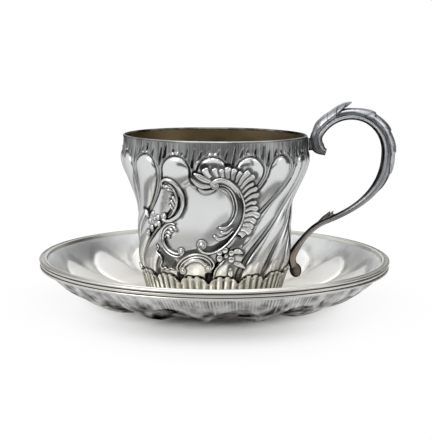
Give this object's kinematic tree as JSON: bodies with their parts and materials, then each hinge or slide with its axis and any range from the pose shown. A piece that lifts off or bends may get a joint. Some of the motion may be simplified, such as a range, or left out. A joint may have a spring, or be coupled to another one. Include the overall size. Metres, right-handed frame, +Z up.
{
  "type": "cup with saucer",
  "caption": "Chased silver tea cup with spiral lobes, scroll cartouche, fluted foot collar and cast scroll handle, standing loose on a lobed saucer with a moulded rim.",
  "frame": {"origin": "centre of the saucer's flat underside, on the cup's axis", "axes": "+Z up along the cup's axis, +X towards the handle, -Y towards the side with the cartouche"},
  "size_m": [0.1466, 0.145, 0.0825],
  "materials": {
    "saucer_silver": "polished silver sheet, tarnished in its chased grooves",
    "cup_silver": "polished chased silver with dark patina in the recesses",
    "wire_silver": "polished drawn silver wire",
    "handle_silver": "cast silver with dark patina",
    "gilt_silver": "worn and tarnished gilding"
  },
  "bodies": {
    "saucer": {"saucer_dish": "saucer_silver", "saucer_rim_wire": "wire_silver"},
    "cup": {"cup_wall": "cup_silver", "cup_lip_wire": "wire_silver", "cup_base_disc": "gilt_silver", "foot_collar": "cup_silver", "handle_bar": "handle_silver", "handle_upper_pad": "handle_silver", "thumb_leaf": "handle_silver", "handle_leaf": "handle_silver"}
  },
  "joints": [
    {"name": "cup_lift", "type": "slide", "parent": "saucer", "child": "cup", "axis": [0, 0, 1], "range_m": [0, 0.06]}
  ]
}
